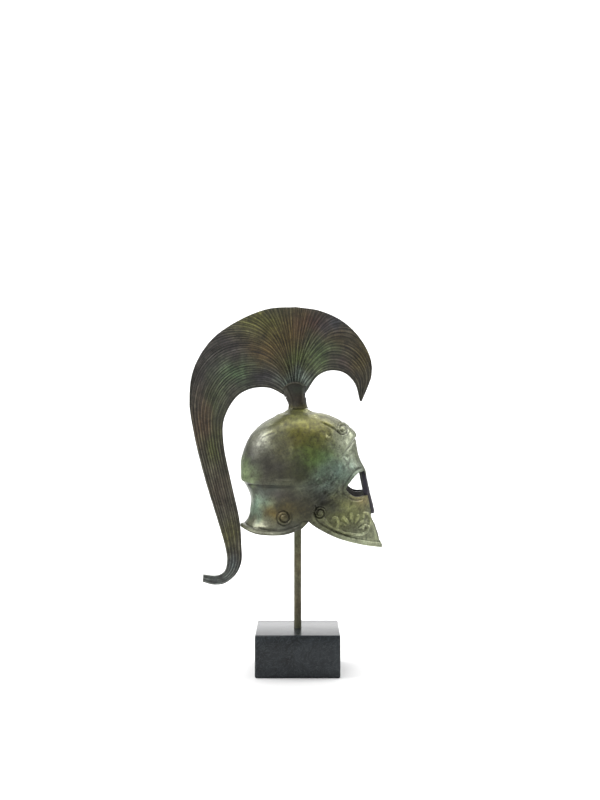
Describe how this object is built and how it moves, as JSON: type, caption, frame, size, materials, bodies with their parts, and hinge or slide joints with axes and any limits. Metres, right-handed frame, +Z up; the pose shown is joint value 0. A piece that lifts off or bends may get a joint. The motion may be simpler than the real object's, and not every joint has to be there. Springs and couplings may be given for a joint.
{
  "type": "miniature greek bronze helmet on a display stand",
  "caption": "Miniature patinated bronze greek helmet with a tall fan crest and long tail, on a rod and a square dark marble block.",
  "frame": {"origin": "centre of the marble block's underside, on the axis of the rod", "axes": "+Z up along the rod, +X the way the helmet faces, +Y to its left"},
  "size_m": [0.1158, 0.0536, 0.2184],
  "materials": {
    "helmet_bronze": "cast bronze, waxed olive and green patina, satin",
    "holder_bronze": "cast bronze, dark patina, satin",
    "crest_bronze": "cast bronze, engraved strands, dark brown and green patina",
    "rod_bronze": "turned bronze rod, light patina",
    "marble": "polished dark green marble with fine veins"
  },
  "bodies": {
    "root": {"helmet_shell": "helmet_bronze", "crest_holder": "holder_bronze", "crest_plume": "crest_bronze", "stand_rod": "rod_bronze", "stand_base": "marble"}
  },
  "joints": []
}
